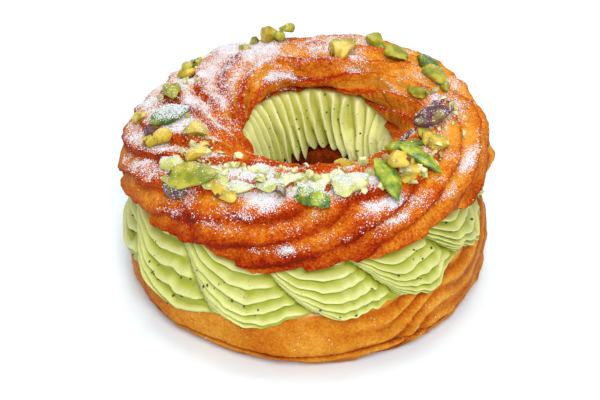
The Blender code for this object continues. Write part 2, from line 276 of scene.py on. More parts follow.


# %% [markdown]
# ## The lid
# The lid was piped with a star nozzle, so ridges wind round it like the strands of a rope.
# Baked choux doesn't keep them as even waves: each strand lies over the one below it like a
# shingle, with a broad ledge on top and a short steep face under its edge.  The edge wavers, the
# skin is blistered, and where the piping closed at the back the strands run out into each other.
#
# Marks kept with the points: `bake_and_painted_light`, how brown the skin is, with painted shade
# added on the steep faces and in the valleys, and `crumb`, where the knife opened the inside.


# %% Shingled ridges
FRONT_LEFT, RIM_LIFT = math.radians(-25), math.radians(205)
HOLE_SIDE, HOLE_SIDE_REACH = math.radians(140), math.radians(55)
# places on the lid: turn and lift of the middle, and the reach each way, all in radians
DARK_LIP = (-0.22, -0.05), (0.40, 0.42)
PALE_RIM = (-0.80, 2.20), (0.60, 0.80)
TEAR_RIGHT = (math.radians(81), math.radians(-4)), (0.12, 0.20)
TEAR_LEFT = (math.radians(-82), -0.1), (0.07, 0.14)
# how far the front lip stands out, and the turn and reach over which it does
FRONT_LIP = (0.0026, -0.24, 0.15), (-0.0026, 0.06, 0.18), (0.0026, 1.12, 0.42)
LIP_LIFT, LIP_REACH = -0.75, 0.65


def near(turn, lift, middle, reach):
    """1 at the middle, a pair of turn and lift, and fading away over its reach each way."""
    return hump(signed(turn), middle[0], reach[0]) * hump(signed(lift), middle[1], reach[1])


def shingle(phase, ledge):
    """1 on each edge, falling gently above it and steeply below it."""
    along = phase % 1.0
    return np.where(along < ledge, 1 - blend(0.0, ledge, along), blend(ledge, 1.0, along))


def lid_relief(turn, lift):
    """How far the skin stands out, where it lies across its ridge, and the plain form."""
    form = place(turn, *lid_section(turn, lift))
    waver = 0.26 * bumps(form, 0.014, 1) + 0.13 * bumps(form, 0.0055, 2)
    waver += 0.06 * bumps(form, 0.0024, 19)
    phase = RIDGES * (lift - twist(turn)) / math.tau + waver
    strength = np.clip(0.70 + 0.60 * bumps(form, 0.011, 3), 0.12, 1.3)
    hole_side = hump(lift % math.tau, HOLE_SIDE, HOLE_SIDE_REACH)
    strength *= 1 + 0.9 * hole_side * hump(np.cos(turn), -1.0, 0.7)
    height = RIDGE_STEP * (shingle(phase, RIDGE_LEDGE) - 0.5) * strength
    height += unevenness(turn, lift, 0.0010) + 0.0006 * bumps(form, 0.0075, 10)
    blisters = blend(0.35, 0.9, bumps(form, 0.0042, 4))
    height += 0.00045 * blisters + 0.00036 * bumps(form, 0.0024, 5)
    height += 0.00017 * bumps(form, 0.0011, 6)
    height += 0.0015 * blend(-0.05, 0.07, bumps(form, 0.0085, 51)) * hump(np.sin(lift), -0.35, 0.3)
    shown = blend(-0.85, -0.45, np.sin(lift))
    crumb_pits = 0.0004 * bumps(form, 0.0016, 7) * (1 - shown)
    return height * shown + crumb_pits, phase % 1.0, form


# %% Shape and brown the lid
LID_COLUMNS, LID_ROWS = 620, 152
mould, column, row = rolled_ring(LID_COLUMNS, LID_ROWS)
turn, lift = column / LID_COLUMNS * math.tau, row / LID_ROWS * math.tau
relief, along, form = lid_relief(turn, lift)
front_left = np.cos(turn - FRONT_LEFT) * blend(-0.4, 0.5, np.cos(lift))
# Painted shade: the steep face and the valley under each edge are darkened; the edge itself browns
# first in the oven, and the middle of the ledge is left lighter.
face = blend(0.66, 0.86, along) + hump(along, 0.0, 0.10) + hump(along, 1.0, 0.08)
groove = hump(along, 0.50, 0.18)
bake_and_painted_light = 0.42 + 0.23 * np.clip(face, 0, 1) - 0.18 * groove + 0.13 * front_left
bake_and_painted_light += 0.18 * bumps(form, 0.009, 8) + 0.12 * bumps(form, 0.003, 9)
bake_and_painted_light -= 0.13 * blend(0.0, 1.0, np.sin(turn))
bake_and_painted_light += 0.10 * hump(np.sin(lift), 0.1, 0.5) * blend(-0.2, 0.8, np.cos(lift))
bake_and_painted_light += 0.30 * near(turn, lift, *DARK_LIP) - 0.16 * near(turn, lift, *PALE_RIM)
torn = near(turn, lift, *TEAR_RIGHT) + 0.6 * near(turn, lift, *TEAR_LEFT)
relief += 0.0022 * torn * (1 + 0.3 * bumps(form, 0.003, 18))
front_lip = sum(out * hump(signed(turn), middle, reach) for out, middle, reach in FRONT_LIP)
relief += front_lip * hump(signed(lift), LIP_LIFT, LIP_REACH)
hole_rim = hump(np.cos(turn), -1.0, 0.5) * hump((lift - RIM_LIFT) % math.tau, 0, 0.5)
relief -= 0.0014 * hole_rim * (1 + 1.1 * bumps(form, 0.0055, 54))
bake_and_painted_light -= 0.30 * hole_rim + 0.07 * blend(0.0, -0.8, np.cos(turn))
# Painted shade: at the back the valleys and steep faces under the ledges are darkened further.
back_ledge_shade = blend(0.2, -0.6, np.cos(turn)) * blend(0.3, -0.3, np.cos(lift))
bake_and_painted_light += 0.22 * hump(along, 0.9, 0.16) * back_ledge_shade
lid = to_piece(
    mould, "choux_lid_skin", place(turn, *lid_section(turn, lift, relief)),
    {"bake_and_painted_light": bake_and_painted_light, "crumb": 1 - blend(-0.75, -0.35, np.sin(lift))},
)
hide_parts("crust_lid")
print("lid closed and outward:", closed_and_outward(lid.data), len(lid.data.polygons), "faces")

# %% [markdown]
# ## The lower half
# Its outer wall rose against the baking tray: smooth, golden and a little wrinkled, with a thin
# fold running round it near the foot where the dough first set; the fold's crease is darkened as
# painted shade and the band just under it lightened as a painted highlight.  Faint strands of the
# nozzle show on the right, with painted shade in their valleys and painted highlights on their
# edges.  The knife left a rough crumb on top, and the wall in the hole is darkened as painted
# shade.

# %% Shape the lower half
FOLD_HEIGHT, FOLD_WIDTH = 0.0052, 0.0006
STRAND_DEPTH, STRAND_WIDTH, STRAND_CLIMB, STRAND_LEDGE = 0.0011, 0.0056, 0.013, 0.72
BASE_COLUMNS, BASE_ROWS = 560, 128
mould, column, row = rolled_ring(BASE_COLUMNS, BASE_ROWS)
turn, lift = column / BASE_COLUMNS * math.tau, row / BASE_ROWS * math.tau
form = place(turn, *base_section(turn, lift))
outside = blend(0.2, 0.8, np.cos(lift))
fold_height = FOLD_HEIGHT + 0.0008 * np.sin(2 * turn + 0.6) + 0.0006 * bumps(form, 0.012, 11)
over_fold = form[:, 2] - fold_height
fold = -0.0010 * hump(over_fold, 0.0, FOLD_WIDTH) - 0.0005 * blend(0.0003, -0.0030, over_fold)
climb = (form[:, 2] - STRAND_CLIMB * signed(turn)) / STRAND_WIDTH
strand = shingle(climb + 0.60 * bumps(form, 0.012, 52), STRAND_LEDGE)
strands = STRAND_DEPTH * (strand - 0.8) * (blend(0.05, 0.55, np.sin(turn)) + 0.12)
strands *= np.clip(0.65 + 0.9 * bumps(form, 0.010, 53), 0.1, 1.2)
wrinkles = 0.0006 * bumps(form * (1, 1, 2.0), 0.008, 12) + 0.00022 * bumps(form, 0.0022, 13)
cut_face = blend(0.0012, 0.0003, cut_height(turn, np.hypot(form[:, 0], form[:, 1])) - form[:, 2])
relief = outside * (fold + strands) + wrinkles + 0.00008 * bumps(form, 0.0009, 14)
spots = place(turn, *base_section(turn, lift, relief))
spots[:, 2] -= cut_face * np.abs(0.0006 * bumps(form, 0.0018, 15))
bake_and_painted_light = 0.34 + 0.20 * bumps(form, 0.011, 16) + 0.08 * bumps(form, 0.0035, 17)
# Painted shade darkens the fold's crease, and a painted highlight lightens the band just under it.
bake_and_painted_light += 0.20 * blend(0.007, 0.0, form[:, 2]) + 0.50 * hump(over_fold, 0.0, FOLD_WIDTH) * outside
bake_and_painted_light -= 0.22 * hump(over_fold, -0.0018, 0.0010) * outside
# Painted shade darkens the wall in the hole.
bake_and_painted_light += 0.12 * blend(0.3, 0.9, np.sin(turn)) + 0.75 * (1 - blend(-0.5, 0.1, np.cos(lift)))
cut_mark = cut_face * blend(-0.25, 0.05, np.cos(lift))
# Painted shade darkens the valleys between the strands, and painted highlights lighten their edges.
bake_and_painted_light += 0.45 * (0.5 - strand) * blend(0.0, 0.6, np.sin(turn)) * outside
base = to_piece(mould, "choux_base_skin", spots, {"bake_and_painted_light": bake_and_painted_light, "crumb": cut_mark})
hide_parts("crust_base")
print("base closed and outward:", closed_and_outward(base.data), len(base.data.polygons), "faces")

# %% [markdown]
# ## The cream
# The cream was piped in a dozen overlapping shells.  Each shell hangs between its neighbours
# in nested, sagging folds whose edges are thin and catch the light; its left side drops steeply
# beside the shell before it.  Inside the hole the same cream stands in narrow pleats, lapped
# like a fan, with ragged lower ends.  The ring's points follow the shells: their columns lean
# with them, and their rows run up the outside, under the lid, down the hole and back below.

# %% Where the shells hang
LOBES, LOBE_BULGE = 12, 0.0018
FIRST_LOBE, LOBE_SHIFT = math.radians(-15), math.radians(4)
LOBE_CROWDING, CROWDED_TURN = math.radians(4.5), math.radians(-27)
LOBE_LEAN, PLEAT_LEAN = math.radians(18), math.radians(-9)
PLEATS = 3.5 * LOBES
CREAM_RADIUS = 0.05
CREAM_LOW, CREAM_LOW_SWING, SCALLOP = 0.0178, 0.0050, 0.0015
OUTER_CONTACT, INNER_CONTACT = math.radians(-45), math.radians(-138)
BASE_CONTACT = math.radians(150)
PRESSED = -0.0003  # the cream is pressed against the lid round the hole
# places as turn and reach: tucked under the lid, slanting pleats, short pleats, a smeared lump
TUCK_LEFT, TUCK_RIGHT = (math.radians(-92), 0.75), (math.radians(92), 0.55)
SLANTING = math.radians(218), math.radians(50)
SHORT, LUMP = (math.radians(168), math.radians(20)), (math.radians(112), math.radians(13))


def lobe_place(share):
    """The turn of a shell's column; the shells stand closer together at the sides."""
    even = math.tau * share / LOBES + FIRST_LOBE
    return even + LOBE_SHIFT + LOBE_CROWDING * np.cos(2 * (even - CROWDED_TURN))


def flesh(turn, rough_height):
    """A place on the cream's mean wall, for reading bumps that belong to the cream."""
    return place(turn, CREAM_RADIUS, rough_height)


print("shells begin at", [round(math.degrees(lobe_place(i))) for i in range(LOBES)], "degrees")


def cream_low(turn, share):
    """The height of the cream's lower edge, which dips at the middle of each shell."""
    edge = flesh(turn, 0 * turn)
    ragged = 0.0013 * bumps(edge, 0.0048, 26) + 0.0009 * bumps(edge, 0.0020, 28)
    even = CREAM_LOW + CREAM_LOW_SWING * np.sin(turn) + SCALLOP * np.cos(math.tau * share)
    return even + ragged


def fold_across(phase, lean):
    """0 in the valley between two folds and 1 on the round crest; lean moves the crest up."""
    return 0.5 - 0.5 * np.cos(math.tau * (phase % 1.0) ** lean)


# %% The outside of the shells
def cream_outside(share, rise):
    """Turn, radius, height and nearness to a crest of the outer face, rising from the base."""
    turn = lobe_place(share) + LOBE_LEAN * (0.5 - rise)
    hang = base_lift_at(cream_low(turn, share))
    low_radius, low_height = base_section(turn, hang, grow=GAP)
    top_radius, top_height = lid_section(turn, OUTER_CONTACT + 0 * turn, grow=GAP)
    along = share % 1.0
    swell = blend(0.0, 0.22, along) * (1 - 0.75 * blend(0.35, 1.0, along))
    wall = flesh(turn, mix(low_height, top_height, rise))
    drop = 0.86 * (1 - np.exp(-along / 0.30)) - 0.10 * along
    waver = 0.06 * bumps(wall, 0.009, 21) + 0.035 * bumps(wall, 0.004, 22)
    folds = 5.2 + 0.7 * np.sin(2.3 * np.floor(share))
    fold = fold_across((rise + drop + waver) * folds + 0.4 * np.floor(share), 1.15)
    shown = np.clip(np.sin(math.pi * rise), 0, 1)
    depth = 0.0017 + 0.0008 * bumps(wall, 0.008, 27)
    lip = blend(0.0, 0.10, rise) * blend(1.0, 0.85, rise)
    bulge = shown**0.40 * LOBE_BULGE * (0.3 + 1.2 * swell) + lip * depth * (fold - 0.45)
    seam = hump(along, 0.0, 0.035) + hump(along, 1.0, 0.05)
    bulge -= 0.0022 * seam * shown**0.5
    tuck = 0.0020 * hump(signed(turn), *TUCK_LEFT) + 0.0030 * hump(signed(turn), *TUCK_RIGHT)
    bulge -= tuck * shown**0.7
    bulge += shown * (0.00026 * bumps(wall, 0.0020, 23) + 0.0004 * bumps(wall, 0.006, 24))
    radius = mix(low_radius, top_radius, rise) + bulge
    sag = 0.0007 * shown * bumps(wall, 0.007, 25) - 0.0006 * shown * fold
    # The nearness to a crest, lowered at the seams between shells, sets the painted shade of the
    # folds in the cream's finish.
    return turn, radius, mix(low_height, top_height, rise) + sag, fold * (1 - 0.8 * seam)


# %% Under the lid and down the hole
def pleat_lean(share):
    """How far a pleat turns on its way down; those at the back left slant the most."""
    return PLEAT_LEAN * (1 + 1.2 * hump(lobe_place(share) % math.tau, *SLANTING))


def cream_under_lid(share, along):
    """The face pressed against the lid, from the outside to the hole."""
    turn = lobe_place(share) + mix(-LOBE_LEAN, -pleat_lean(share), along) / 2
    gap = mix(GAP, PRESSED, blend(0.5, 1.0, along))
    return turn, *lid_section(turn, mix(OUTER_CONTACT, INNER_CONTACT, along), grow=gap), 0 * turn


def ragged_end(turn, share):
    """How far down the wall of the hole each pleat hangs."""
    tip = shingle(share * PLEATS / LOBES, 0.78) - 0.4
    ragged = 0.20 * tip + 0.16 * bumps(place(turn, 0.03, 0 * turn), 0.004, 36)
    return BASE_CONTACT + ragged - 0.44 * hump(turn % math.tau, *SHORT)


def cream_inside(share, fall):
    """The pleated wall of the hole, from the lid down to the ragged ends."""
    turn = lobe_place(share) + pleat_lean(share) * (fall - 0.5)
    top_radius, top_height = lid_section(turn, INNER_CONTACT + 0 * turn, grow=PRESSED)
    low_radius, low_height = base_section(turn, ragged_end(turn, share), grow=GAP)
    wall = flesh(turn, mix(top_height, low_height, fall))
    waver = 0.42 * bumps(wall, 0.010, 31) + 0.12 * bumps(wall, 0.005, 32)
    pleat = shingle(share * PLEATS / LOBES + waver, 0.84)
    lump = hump(turn % math.tau, *LUMP)
    pleat = mix(pleat, 0.5 + 0.5 * bumps(wall, 0.0045, 33), lump)
    shown = np.clip(np.sin(math.pi * fall), 0, 1)
    depth = mix(0.0026, 0.0044, 0.5 + 0.5 * bumps(wall, 0.008, 34))
    bulge = shown**0.30 * (0.0010 + depth * pleat + 0.0010 * lump)
    bulge += shown * 0.00018 * bumps(wall, 0.0018, 35)
    ragged = 0.0120 * blend(0.45, 0.9, fall) * (1 - fall) * (pleat - 0.45)
    height = mix(top_height, low_height, fall) - ragged
    return turn, mix(top_radius, low_radius, fall) - bulge, height, pleat


def cream_on_base(share, along):
    """The face that lies on the lower half, from the hole back to the outside."""
    turn = lobe_place(share) + mix(pleat_lean(share), LOBE_LEAN, along) / 2
    hang = base_lift_at(cream_low(turn, share))
    corner = base_lift_at(cut_height(turn, BASE_RADIUS) + GAP)
    early = mix(ragged_end(turn, share), corner, np.clip(along / 0.6, 0, 1))
    lift = mix(early, hang, np.clip((along - 0.6) / 0.4, 0, 1))
    return turn, *base_section(turn, lift, grow=GAP), 0 * turn


# %% Wrap the four faces into the cream
CREAM_FACES = [(cream_outside, 72), (cream_under_lid, 8), (cream_inside, 56), (cream_on_base, 14)]
CREAM_COLUMNS, CREAM_ROWS = 636, sum(rows for face, rows in CREAM_FACES)
mould, column, row = rolled_ring(CREAM_COLUMNS, CREAM_ROWS)
share = LOBES * column / CREAM_COLUMNS
spots, crest, inner = np.zeros((len(row), 3)), np.zeros(len(row)), np.zeros(len(row))
first = 0
for shape_face, rows in CREAM_FACES:
    here = (row >= first) & (row < first + rows)
    turn, radius, height, crest[here] = shape_face(share[here], (row[here] - first) / rows)
    spots[here], inner[here] = place(turn, radius, height), shape_face is cream_inside
    first += rows
# The crest mark sets painted shade in the valleys of folds and pleats, and the inner mark gives the
# hole a paler colour as painted light.
marks = {"crest": crest, "inner": inner}
cream = to_piece(mould, "piped_cream", spots, marks)
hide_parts("cream_ring")
print("cream closed and outward:", closed_and_outward(cream.data), len(cream.data.polygons))

# %% [markdown]
# ## The larger pistachios
# Shelled pistachios come as whole kernels, as halves and as broken pieces.  Whole ones are
# smooth and slightly wrinkled lengthways, with patches of papery skin; broken ones show flat,
# sharp-edged faces.  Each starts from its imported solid, whose loose triangles are merged and
# subdivided.  Some are drawn to a point, the broken ones are cut by planes whose openings are
# filled, and all are given bumps along their normals.


# %% Break, point and roughen a nut
FACETS, SHARP_ANGLE = 6, math.radians(32)


def cut_facets(mould, centre, generator):
    """Break a solid by planes: each takes a slice off one side and leaves a flat face."""
    for _ in range(FACETS):
        direction = Vector(generator.normal(size=3)).normalized()
        keep = generator.uniform(0.48, 0.76)
        extent = max((vertex.co - centre).dot(direction) for vertex in mould.verts)
        bmesh.ops.bisect_plane(
            mould, geom=mould.verts[:] + mould.edges[:] + mould.faces[:],
            plane_co=centre + direction * extent * keep, plane_no=direction, clear_outer=True,
        )
        rim = [edge for edge in mould.edges if edge.is_boundary]
        bmesh.ops.holes_fill(mould, edges=rim, sides=0)
    bmesh.ops.triangulate(mould, faces=[face for face in mould.faces if len(face.verts) > 4])
    bmesh.ops.recalc_face_normals(mould, faces=mould.faces)


def along_piece(mould):
    """The points measured along the piece's own axes, longest first, with axes and middle."""
    spots = np.array([vertex.co for vertex in mould.verts])
    middle = spots.mean(axis=0)
    axes = np.linalg.svd(spots - middle, full_matrices=False)[2]
    return (spots - middle) @ axes.T, axes, middle


def sharpen_ends(mould, amount):
    """Draw both ends of a kernel to a point."""
    own, axes, middle = along_piece(mould)
    reach = np.abs(own[:, 0]) / np.abs(own[:, 0]).max()
    own[:, 1:] *= (1 - amount * blend(0.35, 1.0, reach))[:, None]
    for vertex, spot in zip(mould.verts, own @ axes + middle):
        vertex.co = spot


def roughen(mould, sizes, seed):
    """Move the points along their normals by bumps, longer ones along the piece's length.

    sizes holds pairs of height and spacing.
    """
    mould.normal_update()
    own = along_piece(mould)[0] * (0.4, 1, 1)
    out = sum(height * bumps(own, size, seed + i) for i, (height, size) in enumerate(sizes))
    for vertex, amount in zip(mould.verts, out.tolist()):
        vertex.co += vertex.normal * amount


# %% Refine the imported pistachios
KERNEL_SEEDS, SUNK = 100, 0.0006
POINTED = {"long": 0.55, "dark": 0.4, "leaf_a": 0.4, "leaf_b": 0.4, "heaped": 0.25}
BROKEN = ["bright", "chunk", "slab", "yellow", "cluster_b", "round", "pale", "green", "two_tone"]
kernels = {}
for seed, name in enumerate(sorted(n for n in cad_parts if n.startswith("pistachio_"))):
    mould = bmesh.new()
    mould.from_mesh(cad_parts[name].data)
    bmesh.ops.remove_doubles(mould, verts=mould.verts, dist=MERGE_DISTANCE)
    short = name.removeprefix("pistachio_")
    middle = sum((vertex.co for vertex in mould.verts), Vector()) / len(mould.verts)
    bmesh.ops.subdivide_edges(mould, edges=mould.edges[:], cuts=3, smooth=1.0, use_grid_fill=True)
    sharpen_ends(mould, POINTED.get(short, 0))
    if short in BROKEN:
        cut_facets(mould, middle, np.random.default_rng(KERNEL_SEEDS + seed))
        roughen(mould, [(0.00050, 0.0030), (0.00014, 0.0010)], seed)
    else:
        roughen(mould, [(0.00030, 0.0028), (0.00012, 0.0011)], seed)
    bmesh.ops.translate(mould, verts=mould.verts, vec=(0, 0, -SUNK))
    kernels[short] = to_piece(mould, "kernel_" + short)
    kernels[short].data.set_sharp_from_angle(angle=SHARP_ANGLE)
    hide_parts(name)
print("kernels:", {name: len(piece.data.polygons) for name, piece in kernels.items()})

# %% [markdown]
# ## Chopped pistachios
# Between the larger ones lie smaller pieces: nibs, dice and thin shavings.  Each is a small
# ball that is cut by planes, scaled and roughened.  They are listed with the angles where they
# lie, and each is set on the skin of the lid with its flat side along it.  Pieces of one colour
# are joined into one object.

# %% List the chopped pieces
CHOPPED_SEEDS = 300
# turn, lift and heading in degrees, length, width, thickness and height in mm, and finish
CHOPPED = [
    (53, 107, -37, 5.0, 3.0, 1.2, 1.0, "green"), (-165, 72, -138, 8.5, 4.6, 4.2, 2.2, "yellow"),
    (-172, 73, 180, 5.0, 3.6, 3.4, 3.2, "olive"), (-168, 72, 150, 4.6, 3.6, 3.2, 1.2, "olive"),
    (-158, 72, 120, 4.8, 3.6, 2.6, 0.9, "olive"), (-151, 94, 114, 6.0, 3.4, 2.2, 0.7, "yellow"),
    (150, 84, -157, 5.6, 4.4, 3.6, 2.4, "olive"), (-118, 84, 125, 5.5, 4.0, 3.0, 1.0, "yellow"),
    (-124, 76, 80, 4.6, 3.6, 2.6, 1.0, "olive"), (-128, 79, -164, 6.0, 4.0, 2.8, 1.0, "olive"),
    (-88, 61, 53, 6.0, 4.6, 3.6, 1.4, "yellow"), (-68, 78, 108, 5.0, 4.4, 3.4, 1.2, "yellow"),
    (-69, 67, 30, 8.0, 4.4, 2.6, 0.9, "yellow"), (-76, 70, 80, 5.0, 4.0, 3.0, 1.0, "skin"),
    (-48, 90, 101, 7.0, 5.6, 3.4, 1.2, "yellow"), (-53, 70, 20, 8.5, 5.0, 1.8, 0.5, "pale"),
    (-19.5, 103, -2, 6.0, 3.4, 1.4, 0.3, "pale"), (-6.6, 97, 21, 8.0, 3.4, 1.4, 0.4, "pale"),
    (-24, 77, 21, 8.5, 4.6, 2.6, 0.9, "pale"), (-14, 84, 10, 8.0, 4.2, 1.6, 0.4, "pale"),
    (19, 130, -64, 7.0, 3.0, 2.0, 1.0, "yellow"), (147, 86, -145, 4.5, 3.8, 2.6, 1.0, "olive"),
    (106.5, 85, 170, 8.0, 3.6, 2.8, 1.0, "olive"), (89, 100, -66, 6.4, 2.2, 2.0, 1.2, "skin"),
    (102, 120, -158, 9.0, 4.4, 1.6, 0.5, "olive"), (56, 128, 7.5, 14.0, 2.0, 1.8, 0.8, "skin"),
    (66, 112, 20, 9.0, 3.4, 1.6, 0.8, "olive"), (10.5, 95, 34, 5.5, 4.4, 2.8, 0.8, "pale"),
    (-28, 68, -18, 9.5, 4.4, 2.6, 0.9, "yellow"), (-33, 72, 25, 8.0, 4.4, 2.2, 0.8, "pale"),
    (3, 84, 60, 7.0, 4.6, 2.2, 0.8, "pale"), (-9, 80, -40, 4.6, 2.6, 1.8, 0.8, "skin"),
    (-44, 50, 4, 9.0, 5.0, 1.8, 0.8, "skin"), (40, 78, 20, 9.0, 6.0, 2.0, 0.6, "yellow"),
]


def resting_frame(turn, lift, heading, height):
    """X along the piece and Z out of the dough, height above the lid's skin."""
    slope = lift + LID_TILT
    outward = Vector((math.sin(turn), -math.cos(turn), 0))
    up = outward * math.cos(slope) + Vector((0, 0, math.sin(slope)))
    forward = Vector((math.cos(turn), math.sin(turn), 0))
    along = forward * math.cos(heading) + up.cross(forward) * math.sin(heading)
    lying = Matrix((along, up.cross(along), up)).transposed().to_4x4()
    spot = place(np.array([turn]), *lid_section(np.array([turn]), np.array([lift])))[0]
    lying.translation = Vector(spot) + up * height
    return lying


# %% Break and place the chopped pieces
def broken_piece(angles, sizes, height, generator):
    """A faceted piece of broken nut, lying on the lid."""
    mould = bmesh.new()
    bmesh.ops.create_icosphere(mould, subdivisions=2, radius=0.5)
    bmesh.ops.scale(mould, vec=(1.08, 1.08, 1.2), verts=mould.verts)
    cut_facets(mould, Vector(), generator)
    bmesh.ops.subdivide_edges(mould, edges=mould.edges[:], cuts=2, use_grid_fill=True)
    bmesh.ops.scale(mould, vec=[size * MM for size in sizes], verts=mould.verts)
    roughen(mould, [(0.00045, 0.0024), (0.00014, 0.0010)], int(generator.integers(50, 90)))
    lying = resting_frame(*map(math.radians, angles), height * MM)
    bmesh.ops.transform(mould, matrix=lying, verts=mould.verts)
    bmesh.ops.recalc_face_normals(mould, faces=mould.faces)
    return mould


heaps = {}
for seed, (*angles, long, wide, thick, height, finish_name) in enumerate(CHOPPED, CHOPPED_SEEDS):
    mould = broken_piece(angles, (long, wide, thick), height, np.random.default_rng(seed))
    single = to_mesh(mould, "single")
    if finish_name not in heaps:
        heaps[finish_name] = bmesh.new()
    heaps[finish_name].from_mesh(single)
    bpy.data.meshes.remove(single)
chopped = {}
for finish_name, heap in heaps.items():
    name = "chopped_" + finish_name
    chopped[name] = to_piece(heap, name)
    chopped[name].data.set_sharp_from_angle(angle=SHARP_ANGLE)
print("chopped pieces:", len(CHOPPED), "in", len(chopped), "colours")

# %% [markdown]
# ## Icing sugar
# Icing sugar falls from a sieve as fine powder and clings in small clumps.  It stays on every
# ledge that faces up and slides off the steep faces, and here the sieve passed mostly over the
# left side and along the belt of pistachios.  How much each place holds is worked out first,
# because both the clumps and the finest powder in the dough's finish follow it.

# %% Where the sugar lies
LID_LOWERED = 0.0035  # how much the lid's tilt lowers its outer edge
NUT_SUGAR, BASE_SUGAR, BASE_POWDER = 2.2, 0.16, 0.6
# drifts of sugar on the ledges: turn, lift, half length and half width in degrees
DRIFTS = [
    (-6, 14, 5, 6), (-16, 8, 6, 6), (-30, 30, 7, 6), (-20, 44, 7, 6), (-42, 24, 7, 7),
    (13, 26, 6, 5), (30, 52, 6, 7), (24, 36, 8, 5), (46, 40, 9, 6), (62, 52, 10, 5),
    (-162, 150, 16, 9), (148, 139, 13, 10), (120, 140, 9, 8), (-28, 128, 14, 7),
    (-80, 92, 9, 8), (-44, 50, 7, 7), (-28, 70, 10, 9),
]
# how much sugar each pistachio holds, where that isn't the usual share
SUGARED = {
    "long": 0.12, "bright": 1.6, "chunk": 1.2, "dark": 0.0, "slab": 0.15, "yellow": 0.3,
    "leaf_a": 0.0, "leaf_b": 0.03, "purple": 0.9, "cluster_a": 0.1, "cluster_b": 0.05,
    "round": 0.05, "pale": 0.15, "green": 0.1, "heaped": 1.5, "two_tone": 0.5,
    "chopped_olive": 0.15, "chopped_yellow": 0.2, "chopped_green": 0.1, "chopped_skin": 0.5,
}


def angles_of(spots):
    """The turn and lift of places near the lid, in degrees."""
    turn = np.arctan2(spots[:, 0], -spots[:, 1])
    middle, width = middle_and_width(turn, LID_RADIUS)
    out = (np.hypot(spots[:, 0], spots[:, 1]) - middle) / width
    up = (spots[:, 2] - LID_HEIGHT + LID_LOWERED * out) / LID_RISE
    return np.degrees(turn), np.degrees(np.arctan2(up, out))


def lid_sugar(spots, normals):
    """How much sugar a place on the lid or on a pistachio holds."""
    turn, lift = angles_of(spots)
    left = blend(-35, -68, turn) * blend(-178, -150, turn) * blend(8, 45, lift)
    left *= 1 - 0.55 * blend(125, 165, lift)
    back = blend(135, 165, np.abs(turn)) * blend(40, 70, lift) * blend(150, 110, lift)
    belt = hump(lift, 81, 18) * blend(-62, -38, turn) * blend(46, 24, turn)
    rope = hump(lift, 100, 22) * hump(turn, 76, 26)
    shelf = hump(turn, -4, 42) * hump(lift, 46, 30)
    drifts = sum(
        hump(turn, drift_turn, long) * hump(lift, drift_lift, wide)
        for drift_turn, drift_lift, long, wide in DRIFTS
    )
    right = blend(35, 70, turn) * blend(30, 60, lift) * blend(150, 110, lift)
    amount = 1.20 * left + 0.75 * back + 1.45 * belt + 0.35 * rope + 0.42 * shelf + 0.34 * right
    amount += 0.12 * blend(20, 60, lift) + 1.3 * drifts
    patches = 0.12 + 1.6 * bumps(spots, 0.0065, 41) + 1.1 * bumps(spots, 0.0022, 42)
    patches = mix(np.clip(patches, 0.03, 2.4), 1.0, np.clip(amount - 0.75, 0, 1))
    level = normals[:, 2]
    facing = mix(blend(0.45, 0.95, level), 0.85 * blend(0.0, 0.35, level), np.clip(drifts, 0, 1))
    return np.clip(amount, 0, 1.5) * patches * facing


def base_dust(spots, normals):
    """How much sugar a place on the lower half holds, under the front of the lid."""
    front = hump(np.degrees(np.arctan2(spots[:, 0], -spots[:, 1])), 2, 34)
    patches = np.clip(1.6 * bumps(spots, 0.006, 45) - 0.1, 0, 1) + 0.02
    return front * patches * blend(-0.1, 0.6, normals[:, 2]) * blend(0.019, 0.012, spots[:, 2])


def held_by(piece, amount_of):
    """What each point of a piece holds."""
    return amount_of(read(piece.data.vertices, "co"), read(piece.data.vertex_normals, "vector"))


lid_holds = held_by(lid, lid_sugar)
lid_holds *= mix(0.35 + 1.2 * hump(along, 0.42, 0.24), 1.0, np.clip(lid_holds - 0.5, 0, 1))
base_holds = held_by(base, base_dust)
give_mark(lid.data, "powder", lid_holds)
give_mark(base.data, "powder", BASE_POWDER * base_holds)
print("share of the lid's points with much sugar:", round(float((lid_holds > 0.5).mean()), 2))

# %% [markdown]
# Each clump of sugar is modelled, as small as can still be seen: a pyramid with four faces,
# doubled again and again by an operator until there are tens of thousands, after which every
# one is given its own place, turn and size.  A place is a random spot in a triangle of a skin,
# and a triangle is drawn more often the larger it is and the more sugar it holds.


# %% Scatter small shapes
APART = 2.0  # how far apart the shapes of a row stand, in their own widths
MOSTLY_SMALL = 1.8  # the power that makes small grains commoner than large ones


def scatter(pieces, count, generator):
    """Random places on skins; pieces gives each one's share and what its points hold."""
    corners_of, chances = [], []
    for piece, piece_share, held in pieces:
        mesh = piece.data
        mesh.calc_loop_triangles()
        corners = np.empty(len(mesh.loop_triangles) * 3, dtype=np.int32)
        mesh.loop_triangles.foreach_get("vertices", corners)
        corners = corners.reshape(-1, 3)
        triangles = read(mesh.vertices, "co")[corners]
        sides = triangles[:, 1:] - triangles[:, :1]
        area = np.linalg.norm(np.cross(sides[:, 0], sides[:, 1]), axis=1)
        corners_of.append(triangles)
        chances.append(piece_share * area * held[corners].mean(axis=1))
    triangles, chance = np.concatenate(corners_of), np.concatenate(chances)
    drawn = generator.choice(len(chance), size=count, p=chance / chance.sum())
    a, b, c = triangles[drawn].swapaxes(0, 1)
    u, v = generator.random((2, count, 1))
    u, v = np.where(u + v > 1, 1 - u, u), np.where(u + v > 1, 1 - v, v)
    facing = np.cross(b - a, c - a)
    return a + (b - a) * u + (c - a) * v, facing / np.linalg.norm(facing, axis=1)[:, None]


def random_turns(count, generator):
    """Random rotations as a stack of 3 by 3 matrices."""
    turned, _ = np.linalg.qr(generator.normal(size=(count, 3, 3)))
    return turned * np.sign(np.linalg.det(turned))[:, None, None]


